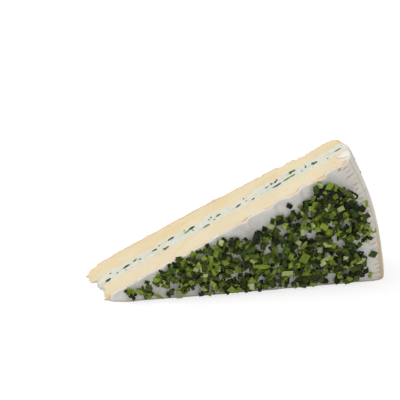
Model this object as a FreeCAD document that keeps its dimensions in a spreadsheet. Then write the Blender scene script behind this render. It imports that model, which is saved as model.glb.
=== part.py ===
import FreeCAD
import Part
import Sketcher
import math
import os

# A wedge of brie with a chive and cream cheese filling, lying on one of its two cut faces.
#
# The wheel was split into two halves, filled and closed again, then cut with two knife strokes.
# In the part's frame the floor is Z = 0 and the lower cut face lies on it. The knife strokes meet at
# the tip, on the -X side, and the rim is on the +X side. The wheel's own axis is parallel to Y, so
# its face with the herbs looks towards -Y and its plain face towards +Y.
# All sizes are in millimetres and degrees.

SIZES = {
    "wheel_radius": 122.5,      # where the two halves meet the filling
    "wedge_angle": 26.9,        # between the two cut faces
    "tip_offset": 5.9,          # how far above the wheel's centre the knife strokes met
    "herbed_thickness": 14.5,   # the half under the herbs, at the wheel's centre
    "herbed_dome": 2.5,         # how much lower its face is at the rim
    "herbed_tip": 4.5,          # where its tip is broken off
    "herbed_tip_length": 2.5,   # the break is worn round: this far along the wedge ...
    "herbed_tip_depth": 2.5,    # ... and this deep from the face
    "filling_thickness": 8.3,
    "filling_tip": 3.2,
    "filling_bulge": 0.5,       # how far the filling is squeezed out at the rim
    "plain_thickness": 14.2,
    "plain_dome": 4.5,
    "plain_tip": 0.8,
    "plain_tip_length": 9.0,
    "plain_tip_depth": 6.5,
    "rim_curve": 30.0,          # radius of the rim's gentle bulge
    "edge_round": 5.5,          # radius where the rim turns into a face of the wheel
}

SPARE = 10.0                    # how far a cutting sketch reaches past the cheese
WHOLE_WHEEL = 1.5               # half the side of the square cut away round the wedge, in wheel radii
START = 1                       # a sketch's own numbers for the points of a line or an arc
END = 2
CENTRE = 3
ORIGIN = (-1, 1)                # the sketch's origin, and its two axes
ACROSS = -1
UPRIGHT = -2


def make_sheet(doc):
    """The driving sizes as a spreadsheet, one named row each."""
    sheet = doc.addObject("Spreadsheet::Sheet", "Sizes")
    for row, (name, value) in enumerate(SIZES.items(), start=1):
        sheet.set("A%d" % row, name)
        sheet.set("B%d" % row, str(value))
        sheet.setAlias("B%d" % row, name)
    return sheet


def add_sketch(body, name, role):
    """A sketch on one of the body's own origin planes."""
    sketch = body.newObject("Sketcher::SketchObject", name)
    planes = [plane for plane in body.Origin.OriginFeatures if plane.Role == role]
    sketch.AttachmentSupport = [(planes[0], "")]
    sketch.MapMode = "FlatFace"
    return sketch


def tie(sketch, kind, *places):
    sketch.addConstraint(Sketcher.Constraint(kind, *places))


def size(sketch, expression, kind, *places):
    """A dimension of the sketch, bound to the spreadsheet."""
    index = sketch.addConstraint(Sketcher.Constraint(kind, *places))
    sketch.setExpression("Constraints[%d]" % index, expression)


def place(sketch, line, point, across, upright):
    """Puts one end of a line at a distance from the sketch's origin. Each is (value, expression)."""
    size(sketch, across[1], "DistanceX", *ORIGIN, line, point, across[0])
    size(sketch, upright[1], "DistanceY", *ORIGIN, line, point, upright[0])


def add_polygon(sketch, corners):
    """A closed polygon, each corner bound to the spreadsheet. A corner is two pairs (value, expression)."""
    points = [FreeCAD.Vector(across[0], upright[0], 0) for across, upright in corners]
    count = len(points)
    lines = [sketch.addGeometry(Part.LineSegment(points[i], points[(i + 1) % count])) for i in range(count)]
    for i in range(count):
        tie(sketch, "Coincident", lines[i], END, lines[(i + 1) % count], START)
        place(sketch, lines[i], START, *corners[i])


def add_arc(sketch, centre, radius, angles, side):
    """An arc between two angles, mirrored downwards where side is -1."""
    middle = FreeCAD.Vector(centre[0], side * centre[1], 0)
    circle = Part.Circle(middle, FreeCAD.Vector(0, 0, 1), radius)
    low, high = sorted((side * angles[0], side * angles[1]))
    return sketch.addGeometry(Part.ArcOfCircle(circle, low, high))


def add_line(sketch, start, end, side):
    first = FreeCAD.Vector(start[0], side * start[1], 0)
    last = FreeCAD.Vector(end[0], side * end[1], 0)
    return sketch.addGeometry(Part.LineSegment(first, last))


def meeting_point(first, first_radius, second, second_radius):
    """Where two circles cross, on the side away from the wheel's axis."""
    apart = math.dist(first, second)
    along = (apart ** 2 + first_radius ** 2 - second_radius ** 2) / (2 * apart)
    off = math.sqrt(first_radius ** 2 - along ** 2)
    unit = ((second[0] - first[0]) / apart, (second[1] - first[1]) / apart)
    return (first[0] + along * unit[0] + off * unit[1], first[1] + along * unit[1] - off * unit[0])


def direction(start, end):
    return math.atan2(end[1] - start[1], end[0] - start[0])


def turn_about_wheel_axis(body, section):
    section.setExpression("AttachmentOffset.Base.z", "-Sizes.tip_offset")
    wheel = body.newObject("PartDesign::Revolution", "wheel_layer")
    wheel.Profile = section
    wheel.ReferenceAxis = (section, ["V_Axis"])
    wheel.Angle = 360
    section.Visibility = False


def add_half_wheel(body, half, side):
    """One half of the wheel: flat where it meets the filling, a bulging rim, and a slightly domed face."""
    radius = SIZES["wheel_radius"]
    thickness = SIZES[half + "_thickness"]
    drop = SIZES[half + "_dome"]
    dome_radius = (radius ** 2 + drop ** 2) / (2 * drop)
    rim_centre = (radius - SIZES["rim_curve"], 0)
    dome_centre = (0, thickness - dome_radius)
    edge_round = SIZES["edge_round"]
    edge_centre = meeting_point(dome_centre, dome_radius - edge_round,
                                rim_centre, SIZES["rim_curve"] - edge_round)
    rim_end = direction(rim_centre, edge_centre)
    edge_end = direction(dome_centre, edge_centre)

    sketch = add_sketch(body, "wheel_section", "XY_Plane")
    inner = add_line(sketch, (0, 0), (radius, 0), side)
    rim = add_arc(sketch, rim_centre, SIZES["rim_curve"], (0, rim_end), side)
    edge = add_arc(sketch, edge_centre, edge_round, (rim_end, edge_end), side)
    dome = add_arc(sketch, dome_centre, dome_radius, (edge_end, math.pi / 2), side)
    axis = add_line(sketch, (0, thickness), (0, 0), side)

    # A mirrored arc runs the other way, so its two ends change places.
    begin, finish = (START, END) if side > 0 else (END, START)
    tie(sketch, "Coincident", inner, START, *ORIGIN)
    tie(sketch, "Horizontal", inner)
    tie(sketch, "Coincident", inner, END, rim, begin)
    tie(sketch, "PointOnObject", rim, CENTRE, ACROSS)
    tie(sketch, "Tangent", rim, finish, edge, begin)
    tie(sketch, "Tangent", edge, finish, dome, begin)
    tie(sketch, "PointOnObject", dome, CENTRE, UPRIGHT)
    tie(sketch, "Coincident", dome, finish, axis, START)
    tie(sketch, "Coincident", axis, END, inner, START)
    size(sketch, "Sizes.wheel_radius", "DistanceX", inner, START, inner, END, radius)
    size(sketch, "Sizes.rim_curve", "Radius", rim, SIZES["rim_curve"])
    size(sketch, "Sizes.edge_round", "Radius", edge, edge_round)
    dome_words = "(Sizes.wheel_radius ^ 2 + Sizes.{0} ^ 2) / (2 * Sizes.{0})".format(half + "_dome")
    size(sketch, dome_words, "Radius", dome, dome_radius)
    height_words = "%d * Sizes.%s_thickness" % (side, half)
    size(sketch, height_words, "DistanceY", axis, END, axis, START, side * thickness)
    tie(sketch, "Vertical", axis)
    turn_about_wheel_axis(body, sketch)


def add_filling_wheel(body):
    """The filling between the halves: flat, and squeezed out a little all round the rim."""
    radius = SIZES["wheel_radius"]
    thickness = SIZES["filling_thickness"]
    bulge = SIZES["filling_bulge"]
    bulge_radius = (thickness ** 2 / 4 + bulge ** 2) / (2 * bulge)
    bulge_centre = (radius + bulge - bulge_radius, thickness / 2)
    half_angle = math.asin(thickness / (2 * bulge_radius))

    sketch = add_sketch(body, "wheel_section", "XY_Plane")
    lower = add_line(sketch, (0, 0), (radius, 0), 1)
    rim = add_arc(sketch, bulge_centre, bulge_radius, (-half_angle, half_angle), 1)
    upper = add_line(sketch, (radius, thickness), (0, thickness), 1)
    axis = add_line(sketch, (0, thickness), (0, 0), 1)
    tie(sketch, "Coincident", lower, START, *ORIGIN)
    tie(sketch, "Horizontal", lower)
    tie(sketch, "Coincident", lower, END, rim, START)
    tie(sketch, "Coincident", rim, END, upper, START)
    tie(sketch, "Horizontal", upper)
    tie(sketch, "Coincident", upper, END, axis, START)
    tie(sketch, "Coincident", axis, END, lower, START)
    tie(sketch, "Vertical", axis)
    size(sketch, "Sizes.wheel_radius", "DistanceX", lower, START, lower, END, radius)
    size(sketch, "Sizes.wheel_radius", "DistanceX", upper, END, upper, START, radius)
    size(sketch, "Sizes.filling_thickness", "DistanceY", axis, END, axis, START, thickness)
    bulge_words = "(Sizes.filling_thickness ^ 2 / 4 + Sizes.filling_bulge ^ 2) / (2 * Sizes.filling_bulge)"
    size(sketch, bulge_words, "Radius", rim, bulge_radius)
    turn_about_wheel_axis(body, sketch)


def cut_through(body, sketch, name):
    pocket = body.newObject("PartDesign::Pocket", name)
    pocket.Profile = sketch
    pocket.Type = "ThroughAll"
    pocket.Midplane = True
    sketch.Visibility = False


def cut_wedge(body, layer):
    """The two knife strokes and the blunt tip: all of the layer outside a wedge is cut away."""
    rise = math.tan(math.radians(SIZES["wedge_angle"]))
    outside = SIZES["wheel_radius"] * WHOLE_WHEEL
    reach = SIZES["wheel_radius"] + SPARE
    tip = SIZES[layer + "_tip"]
    outside_words = "Sizes.wheel_radius * %g" % WHOLE_WHEEL
    reach_words = "(Sizes.wheel_radius + %g)" % SPARE
    rise_words = " * tan(Sizes.wedge_angle * 1 deg)"
    tip_words = "Sizes.%s_tip" % layer
    right = (outside, outside_words)
    left = (-outside, "-" + outside_words)
    zero = (0, "0")

    sketch = add_sketch(body, "knife_strokes", "XZ_Plane")
    add_polygon(sketch, [(left, left), (right, left), (right, right), (left, right)])
    far_corner = (reach * rise, reach_words + rise_words)
    tip_corner = (tip * rise, tip_words + rise_words)
    far = (reach, reach_words)
    near = (tip, tip_words)
    add_polygon(sketch, [(near, zero), (far, zero), (far, far_corner), (near, tip_corner)])
    cut_through(body, sketch, "wedge_cut")


def wear_tip(body, half, side):
    """The corner between the broken tip and the half's face is worn round."""
    tip = SIZES[half + "_tip"]
    length = SIZES[half + "_tip_length"]
    depth = SIZES[half + "_tip_depth"]
    thickness = SIZES[half + "_thickness"]
    wear_radius = (length ** 2 + depth ** 2) / (2 * depth)
    tip_words = "Sizes.{0}_tip".format(half)
    inner_words = "{1} * (Sizes.{0}_thickness - Sizes.{0}_tip_depth)".format(half, side)
    outer_words = "{1} * (Sizes.{0}_thickness + {2:g})".format(half, side, SPARE)
    end_words = "Sizes.{0}_tip + Sizes.{0}_tip_length".format(half)
    before = (tip - SPARE, "%s - %g" % (tip_words, SPARE))
    inner = (side * (thickness - depth), inner_words)
    outer = (side * (thickness + SPARE), outer_words)
    end = (tip + length, end_words)
    face = (side * thickness, "%d * Sizes.%s_thickness" % (side, half))

    sketch = add_sketch(body, "tip_wear_outline", "XY_Plane")
    stops = [((tip, tip_words), inner), (before, inner), (before, outer), (end, outer), (end, face)]
    corners = [FreeCAD.Vector(across[0], upright[0], 0) for across, upright in stops]
    lines = [sketch.addGeometry(Part.LineSegment(a, b)) for a, b in zip(corners, corners[1:])]
    for before_line, after_line in zip(lines, lines[1:]):
        tie(sketch, "Coincident", before_line, END, after_line, START)
    for line, stop in zip(lines, stops):
        place(sketch, line, START, *stop)
    place(sketch, lines[-1], END, *stops[-1])
    arc_centre = (tip + length, thickness - wear_radius)
    arc_start = math.pi / 2
    arc_end = direction(arc_centre, (tip, thickness - depth))
    wear = add_arc(sketch, arc_centre, wear_radius, (arc_start, arc_end), side)
    begin, finish = (START, END) if side > 0 else (END, START)
    tie(sketch, "Coincident", wear, begin, lines[-1], END)
    tie(sketch, "Coincident", wear, finish, lines[0], START)
    wear_words = "(Sizes.{0}_tip_length ^ 2 + Sizes.{0}_tip_depth ^ 2) / (2 * Sizes.{0}_tip_depth)"
    size(sketch, wear_words.format(half), "Radius", wear, wear_radius)
    cut_through(body, sketch, "tip_wear")


def add_layer(doc, label):
    """A sub-part of its own. Its label names its file."""
    body = doc.addObject("PartDesign::Body", label)
    body.Label = label
    length_words = "sqrt((Sizes.wheel_radius + Sizes.filling_bulge) ^ 2 - Sizes.tip_offset ^ 2)"
    body.setExpression("Placement.Base.x", "-(Sizes.plain_tip + %s) / 2" % length_words)
    return body


def add_herbed_half(doc):
    body = add_layer(doc, "brie_half_herbed")
    add_half_wheel(body, "herbed", -1)
    cut_wedge(body, "herbed")
    wear_tip(body, "herbed", -1)
    return body


def add_filling(doc):
    body = add_layer(doc, "chive_cream_filling")
    add_filling_wheel(body)
    cut_wedge(body, "filling")
    return body


def add_plain_half(doc):
    body = add_layer(doc, "brie_half_plain")
    add_half_wheel(body, "plain", 1)
    cut_wedge(body, "plain")
    wear_tip(body, "plain", 1)
    return body


def stack(herbed, filling, plain):
    """The layers lie face to face, with the middle of the whole thickness at Y = 0."""
    whole = "(Sizes.herbed_thickness + Sizes.filling_thickness + Sizes.plain_thickness)"
    herbed.setExpression("Placement.Base.y", "Sizes.herbed_thickness - %s / 2" % whole)
    filling.setExpression("Placement.Base.y", "Sizes.herbed_thickness - %s / 2" % whole)
    plain.setExpression("Placement.Base.y", "%s / 2 - Sizes.plain_thickness" % whole)


def check(doc, bodies):
    """Stops before anything is written if a feature failed or a shape isn't sound."""
    for item in doc.Objects:
        if "Invalid" in item.State or "Error" in item.State:
            raise RuntimeError("%s did not build: %s" % (item.Label, item.State))
        if item.TypeId == "Sketcher::SketchObject" and not item.FullyConstrained:
            raise RuntimeError("%s is not fully constrained" % item.Label)
    for body in bodies:
        if body.Shape.isNull() or not body.Shape.isValid():
            raise RuntimeError("%s has no sound shape" % body.Label)
        if len(body.Shape.Solids) != 1:
            raise RuntimeError("%s is not one solid" % body.Label)


def main():
    doc = FreeCAD.newDocument("brie_wedge")
    make_sheet(doc)
    doc.recompute()
    bodies = [add_herbed_half(doc), add_filling(doc), add_plain_half(doc)]
    stack(*bodies)
    doc.recompute()
    check(doc, bodies)
    os.makedirs("parts", exist_ok=True)
    for body in bodies:
        body.Shape.exportStep("parts/%s.step" % body.Label)
        box = body.Shape.BoundBox
        print(body.Label, "volume %.0f mm3" % body.Shape.Volume, box)


main()
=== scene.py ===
"""The looks of a wedge of filled brie, lying on a cut face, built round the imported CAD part.

The three CAD layers are rebuilt as fine meshes with a bloomy rind, soft paste and a crumbly filling.
Chopped chives lie on the face that looks towards -Y, and more of them show in the filling.
Shapes are worked out in millimetres in the part's frame, and become metres when a mesh is made.
"""
import functools
import itertools
import math

import bmesh
import bpy
import numpy as np
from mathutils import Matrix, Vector
from mathutils.bvhtree import BVHTree


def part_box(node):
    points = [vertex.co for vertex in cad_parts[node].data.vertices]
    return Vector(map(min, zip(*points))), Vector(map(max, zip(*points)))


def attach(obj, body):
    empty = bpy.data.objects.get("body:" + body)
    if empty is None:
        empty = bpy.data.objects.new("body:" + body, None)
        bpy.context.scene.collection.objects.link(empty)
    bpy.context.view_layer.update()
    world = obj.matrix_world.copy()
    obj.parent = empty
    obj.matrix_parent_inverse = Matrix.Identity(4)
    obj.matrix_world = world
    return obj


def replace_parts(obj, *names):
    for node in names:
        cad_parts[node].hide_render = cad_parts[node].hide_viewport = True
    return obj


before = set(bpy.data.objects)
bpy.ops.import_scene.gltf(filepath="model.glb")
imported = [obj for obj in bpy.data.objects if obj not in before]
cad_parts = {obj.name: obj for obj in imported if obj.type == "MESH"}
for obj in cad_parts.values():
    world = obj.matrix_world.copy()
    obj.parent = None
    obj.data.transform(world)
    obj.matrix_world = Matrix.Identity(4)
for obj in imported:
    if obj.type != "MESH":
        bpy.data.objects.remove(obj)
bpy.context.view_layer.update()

MM = 0.001
BODY = "root"
HERBED, FILLING, PLAIN = "brie_half_herbed", "chive_cream_filling", "brie_half_plain"

# Sizes in millimetres that the CAD boxes don't hold.
WHEEL_CENTRE_BELOW_TIP = 5.9
VOXEL = 0.45


# ---------------------------------------------------------------- the wedge, as the frame gives it

def box_mm(node):
    low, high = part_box(node)
    return np.array(low) / MM, np.array(high) / MM


def upper_cut():
    """The upper cut face's slope and the tip's place, from the herbed half's flat sloping face."""
    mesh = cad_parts[HERBED].data
    sloping = [p for p in mesh.polygons if p.normal.z > 0.5 and abs(p.normal.y) < 0.01]
    widest = max(sloping, key=lambda polygon: polygon.area)
    normal = np.array(widest.normal)
    point = np.array(widest.center) / MM
    tip_x = float(point @ normal / normal[0])
    return math.atan2(-normal[0], normal[2]), tip_x


HERBED_HIGH = box_mm(HERBED)[1]
FILLING_LOW, FILLING_HIGH = box_mm(FILLING)
PLAIN_LOW, PLAIN_HIGH = box_mm(PLAIN)
SLOPE, TIP_X = upper_cut()
LENGTH = FILLING_HIGH[0] - TIP_X
WHEEL_RADIUS = math.hypot(HERBED_HIGH[0] - TIP_X, WHEEL_CENTRE_BELOW_TIP)
FILLING_RADIUS = math.hypot(FILLING_HIGH[0] - TIP_X, WHEEL_CENTRE_BELOW_TIP)
ALONG_UP = np.array([math.cos(SLOPE), 0.0, math.sin(SLOPE)])
UPPER_NORMAL = np.array([-math.sin(SLOPE), 0.0, math.cos(SLOPE)])
TIP = np.array([TIP_X, 0.0, 0.0])


class Places:
    """Where points lie in the wedge, in millimetres: from the tip, below the upper cut, from the rim."""

    def __init__(self, points):
        rel = points - TIP
        self.points = points
        self.along = np.hypot(rel[:, 0], rel[:, 2])
        self.turn = np.arctan2(rel[:, 2], rel[:, 0])
        self.across = points[:, 1]
        self.height = points[:, 2]
        self.below_upper = -(rel @ UPPER_NORMAL)
        self.from_rim = WHEEL_RADIUS - np.hypot(rel[:, 0], rel[:, 2] + WHEEL_CENTRE_BELOW_TIP)


# ---------------------------------------------------------------- numbers

def smooth(value, low, high):
    """0 below low, 1 above high, and an easy curve between. Low may be the larger."""
    t = np.clip((value - low) / (high - low), 0, 1)
    return t * t * (3 - 2 * t)


LATTICE = 48   # how many random numbers lie along each side of a block of noise


@functools.cache
def lattice(seed):
    return np.random.default_rng(seed).uniform(-1, 1, (LATTICE,) * 3)


def bumps(points, cell, seed):
    """Smooth noise from -1 to 1. Cell is the size of a bump, one number or one for each axis."""
    table = lattice(seed)
    scaled = points / cell
    base = np.floor(scaled).astype(int)
    part = scaled - base
    part = part * part * (3 - 2 * part)
    total = np.zeros(len(points))
    for corner in itertools.product((0, 1), repeat=3):
        weight = np.prod(np.where(corner, part, 1 - part), axis=1)
        at = (base + corner) % LATTICE
        total += weight * table[at[:, 0], at[:, 1], at[:, 2]]
    return total


def ripple(distance, cell, seed):
    """Smooth noise from -1 to 1 along one line."""
    line = np.zeros((len(distance), 3))
    line[:, 0] = distance
    return bumps(line, cell, seed)


# ---------------------------------------------------------------- objects and pieces

def add_object(name, data):
    made = bpy.data.objects.new(name, data)
    bpy.context.scene.collection.objects.link(made)
    return made


def write_fields(mesh, fields):
    """Keeps numbers for each point under their names, for the materials, and shades the mesh smooth."""
    for key, values in fields.items():
        attribute = mesh.attributes.new(key, "FLOAT", "POINT")
        attribute.data.foreach_set("value", np.asarray(values, np.float32))
    mesh.polygons.foreach_set("use_smooth", [True] * len(mesh.polygons))


def add_piece(name, mesh, material):
    """A finished piece, which rides on the wedge's one body."""
    mesh.materials.append(material)
    piece = add_object(name, mesh)
    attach(piece, BODY)
    return piece


# ---------------------------------------------------------------- the three layers as fine meshes

def surface_tree(mesh, keep):
    """A search tree of the faces of a CAD mesh that keep() picks by centre (mm) and normal."""
    corners = [Vector(v.co) / MM for v in mesh.vertices]
    faces = [tuple(p.vertices) for p in mesh.polygons if keep(np.array(p.center) / MM, np.array(p.normal))]
    return BVHTree.FromPolygons(corners, faces)


def is_rind(centre, normal):
    """The outside of the wheel: what no knife and no filling has touched."""
    out, up = centre[0] - TIP_X, centre[2]
    at_rim = WHEEL_RADIUS - math.hypot(out, up + WHEEL_CENTRE_BELOW_TIP) < 8 and math.hypot(out, up) > 60
    outer_face = abs(normal[1]) > 0.9 and abs(centre[1]) > 8
    side = abs(normal[1]) < 0.999 and abs(normal @ UPPER_NORMAL) < 0.97 and abs(normal[2]) < 0.97
    return outer_face or (at_rim and side)


class Layer:
    """A CAD layer remeshed finely. Points are in millimetres, and fields hold one number for each point."""

    def __init__(self, node, name, slot):
        self.node, self.name, self.slot = node, name, slot
        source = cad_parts[node].data
        rough = add_object(name + "_rough", source.copy())
        voxels = rough.modifiers.new("voxels", "REMESH")
        voxels.mode = "VOXEL"
        voxels.voxel_size = VOXEL * MM
        ready = rough.evaluated_get(bpy.context.evaluated_depsgraph_get())
        self.mesh = bpy.data.meshes.new_from_object(ready)
        bpy.data.objects.remove(rough)
        self.mesh.name = name
        count = len(self.mesh.vertices)
        flat = np.empty(count * 3)
        self.mesh.vertices.foreach_get("co", flat)
        self.points = flat.reshape(-1, 3) / MM
        self.mesh.vertices.foreach_get("normal", flat)
        self.normals = flat.reshape(-1, 3).copy()
        self.at = Places(self.points)
        tree = surface_tree(source, is_rind)
        self.rind = np.array([tree.find_nearest(Vector(p))[3] for p in self.points])
        self.on_upper = smooth(self.at.below_upper, 1.2, 0.4)
        self.on_lower = smooth(self.at.height, 1.2, 0.4)
        self.on_rind = smooth(self.rind, 0.7, 0.2)
        self.shift = np.zeros_like(self.points)

    def push(self, amount, direction=None):
        """Moves the points by millimetres along a direction, or along their own normals."""
        direction = self.normals if direction is None else np.asarray(direction)
        self.shift += np.asarray(amount)[:, None] * direction

    def finish(self, fields, material):
        """Moves the points, at most down to the floor, and makes the piece that stands for the CAD layer."""
        points = self.points + self.shift
        points[:, 2] = np.maximum(points[:, 2], 0)
        self.mesh.vertices.foreach_set("co", (points * MM).ravel())
        write_fields(self.mesh, fields)
        self.mesh.materials.clear()
        self.mesh.update()
        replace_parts(add_piece(self.name, self.mesh, material), self.node)
        faces = [tuple(p.vertices) for p in self.mesh.polygons]
        self.tree = BVHTree.FromPolygons([Vector(p) for p in points], faces)

    def nearest(self, place):
        """The place on the finished surface nearest to a place in millimetres, with its normal."""
        spot, normal, *_ = self.tree.find_nearest(Vector(place))
        return np.array(spot), np.array(normal)


def velvet(layer, seed):
    """The soft unevenness of a white mould rind."""
    fine = 0.05 * bumps(layer.points, 1.1, seed) + 0.09 * bumps(layer.points, 3.5, seed + 1)
    broad = 0.22 * bumps(layer.points, 12.0, seed + 2)
    layer.push(layer.on_rind * smooth(layer.at.height, 0, 3) * (fine + broad))


LAP = 0.5   # mm


def lap(layer, side):
    """Carries a layer's hidden joint face a little into its neighbour, so that no slot shows between them."""
    layer.push(LAP * np.clip(layer.normals[:, 1] * side, 0, 1), (0, side, 0))


def knife_marks(layer, seed):
    """Faint lengthwise drag lines and a slight wave on the two cut faces."""
    stretched = np.stack([layer.at.along, layer.at.across, np.zeros(len(layer.points))], axis=1)
    lines = 0.05 * bumps(stretched, np.array([45.0, 0.7, 1.0]), seed)
    wave = 0.14 * bumps(stretched, np.array([22.0, 9.0, 1.0]), seed + 1)
    layer.push(layer.on_upper * (lines + wave), UPPER_NORMAL)


SLIT_DEPTH = 0.45   # mm


def slits(layer, chosen, count, seed, across_range):
    """Small gas slits in the paste: shallow slanted dents. Returns how far each point is in one."""
    rng = np.random.default_rng(seed)
    inside = np.zeros(len(layer.points))
    strewn = [(rng.uniform(15, 112), rng.uniform(*across_range), rng.uniform(0.4, 0.9),
               rng.uniform(0.25, 0.4), rng.uniform(-0.2, 0.6)) for _ in range(count)]
    for along, across, length, width, turn in chosen + strewn:
        da, dc = layer.at.along - along, layer.at.across - across
        run = da * math.cos(turn) + dc * math.sin(turn)
        side = dc * math.cos(turn) - da * math.sin(turn)
        inside = np.maximum(inside, smooth(np.hypot(run / length, side / width), 1.25, 0.5))
    layer.push(-SLIT_DEPTH * layer.on_upper * inside, UPPER_NORMAL)
    layer.push(SLIT_DEPTH * layer.on_lower * inside, (0, 0, 1))
    return inside * np.maximum(layer.on_upper, layer.on_lower)


def rag_tip(layer, reach, foot, seed):
    """Breaks up the blunt tip, where the soft cheese tore off the knife."""
    near = smooth(layer.at.along, reach, 3.0)
    level = layer.points * np.array([0.3, 1.0, 0.5])
    tear = 0.6 * bumps(level, 2.6, seed) + 0.7 * bumps(level, 1.1, seed + 1)
    # The foot of the tip runs out into a thin ragged edge.
    foot = foot * smooth(layer.at.height, 2.6, 0.2) * smooth(layer.at.along, reach, 4.5)
    layer.push(near * (tear - 0.4) + foot, (-1, 0, 0))
    layer.push(near * 0.06 * bumps(layer.points, 1.2, seed + 2))


# Towards the rim the knife tore the herbed half's upper edge into steps, evenly spaced from the tip (mm).
FIRST_STEP, STEP_SPACING, STEP_DEPTH = 70.0, 12.0, 1.7
PATCH_STRENGTHS = (0.9, 0.3, 0.45, 0.6)
TORN_STEPS = [FIRST_STEP + STEP_SPACING * step for step in range(len(PATCH_STRENGTHS))]
# Torn flaps on the cut face beside the rim: along, across, half length and half width (mm).
RIM_FLAPS = [(117, -8, 3.0, 2.7), (116, -13, 1.8, 0.9)]
# Slits that catch the eye in each half: along, across, half length, half width (mm) and slant.
HERBED_SLITS = [(29, -14, 1.7, 0.5, 0.45), (40, -10, 1.4, 0.4, 0.3), (89, -10, 1.0, 0.5, 0.2)]
PLAIN_SLITS = [(6, 10, 1.2, 0.5, 0.5)]
# Scratches in the herbed rind: out from the tip, up from the floor, half length, half width (mm) and slant.
SCRATCHES = [(100, 49.5, 0.9, 0.6, 0.8), (109, 17, 1.6, 0.4, 0.7), (110, 20, 1.2, 0.35, 0.9)]


def torn_edge(along):
    """How far the torn upper edge stands out (mm): it wanders, and then has saw teeth towards the rim."""
    run = ((along - FIRST_STEP) / STEP_SPACING) % 1.0
    teeth = STEP_DEPTH * np.minimum(run, (1 - run) / 0.1) * smooth(along, 110, 106)
    toothed = smooth(along, 58, 64)
    return (1 - toothed) * 1.3 * ripple(along, 8.0, 58) + toothed * (teeth - 0.3)


def half_fields(layer, from_joint):
    """What the halves' material needs to know of each point's place."""
    at = layer.at
    return {"rind": layer.rind, "joint": from_joint, "along": at.along, "from_rim": at.from_rim,
            "arc": at.turn * WHEEL_RADIUS, "height": at.height}


def make_herbed_half(material):
    layer = Layer(HERBED, "half_herbed", "brie")
    at = layer.at
    velvet(layer, 11)
    knife_marks(layer, 21)
    eyes = slits(layer, HERBED_SLITS, 10, 31, (-15.0, -6.0))
    rag_tip(layer, 9.0, 0.4, 41)
    lap(layer, 1)
    # The face draws in towards the tip.
    layer.push(2.2 * smooth(at.along, 14, 1) * smooth(at.across, -8, -17), (0, 1, 0))
    # The rind's edge is torn into steps where the knife dragged it, and wavers between them.
    waver = 0.30 * ripple(at.along, 3.3, 51) + 0.22 * ripple(at.along, 1.5, 52)
    edge = smooth(layer.rind, 4.5, 0.2) * smooth(at.below_upper, 6.0, 0.5)
    layer.push(edge * (torn_edge(at.along) + waver), (0, -1, 0))
    # At each step a flap of rind is smeared up onto the cut face, beside a patch of bare orange under-rind.
    flaps, patches = np.zeros(len(layer.points)), np.zeros(len(layer.points))
    for step, strength in zip(TORN_STEPS, PATCH_STRENGTHS):
        flaps = np.maximum(flaps, np.exp(-(((at.along - step - 2.2) / 2.6) ** 2)))
        patches = np.maximum(patches, strength * np.exp(-(((at.along - step + 1.6) / 2.2) ** 2)))
    flaps = np.maximum(flaps, 0.7 * smooth(ripple(at.along, 3.6, 53), 0.1, 0.6))
    # Where the cut meets the rim, torn flaps of rind lie over the paste.
    cap = np.zeros(len(layer.points))
    ragged = 0.4 * bumps(layer.points, 1.3, 57)
    for along, across, length, width in RIM_FLAPS:
        away = np.hypot((at.along - along) / length, (at.across - across) / width) + ragged
        cap = np.maximum(cap, layer.on_upper * smooth(away, 1.25, 0.75))
    on_edge = smooth(at.below_upper, 2.5, 0.8)
    layer.push(0.45 * layer.on_upper * flaps * smooth(layer.rind, 1.8, 0.4) + 0.3 * cap, UPPER_NORMAL)
    # Small scratches that go through the rind to its orange underside.
    scratch = np.zeros(len(layer.points))
    for out, up, length, width, turn in SCRATCHES:
        dx, dz = at.points[:, 0] - TIP_X - out, at.height - up
        lengthways = dx * math.cos(turn) + dz * math.sin(turn)
        sideways = dz * math.cos(turn) - dx * math.sin(turn)
        scratch = np.maximum(scratch, smooth(np.hypot(lengthways / length, sideways / width), 1.2, 0.6))
    scratch *= smooth(at.across, -10, -14)
    layer.push(-0.2 * scratch)
    layer.finish({**half_fields(layer, HERBED_HIGH[1] - at.across), "eye": eyes, "tear": flaps * on_edge,
                  "patch": patches * on_edge, "cap": cap, "scratch": scratch}, material)
    return layer


def make_plain_half(material):
    layer = Layer(PLAIN, "half_plain", "brie")
    at = layer.at
    velvet(layer, 12)
    knife_marks(layer, 22)
    eyes = slits(layer, PLAIN_SLITS, 9, 32, (6.0, 15.0))
    rag_tip(layer, 9.0, 0.9, 42)
    lap(layer, -1)
    outer = np.clip((at.across - PLAIN_LOW[1]) / (PLAIN_HIGH[1] - PLAIN_LOW[1]), 0, 1)
    droop = 1.1 * smooth(at.along, 55, 118) * outer ** 2 * smooth(at.below_upper, 12, 0.5)
    layer.push(-droop, UPPER_NORMAL)
    notched = 0.35 + 0.65 * smooth(at.along, 78, 90) * smooth(at.along, 112, 104)
    nicks = 0.8 * np.abs(ripple(at.along, 1.7, 54)) + 0.35 * ripple(at.along, 6.0, 55)
    edge = smooth(layer.rind, 2.2, 0.2) * smooth(at.below_upper, 2.2, 0.3)
    layer.push(-edge * notched * nicks, (0, 1, 0))
    layer.push(-0.6 * layer.on_upper * smooth(layer.rind, 3.5, 0.8) * notched * nicks, UPPER_NORMAL)
    flaps = smooth(ripple(at.along, 3.8, 56), 0.2, 0.7)
    none = np.zeros(len(layer.points))
    tear = 0.3 * flaps * smooth(at.below_upper, 2.5, 0.8)
    layer.finish({**half_fields(layer, at.across - PLAIN_LOW[1]), "eye": eyes, "tear": tear,
                  "patch": 0.25 * layer.on_upper, "cap": none, "scratch": none}, material)
    return layer


# How far apart the noise at the filling's two sides is read (mm), so that the sides differ.
BANK_SHIFT = 20.0


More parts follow.
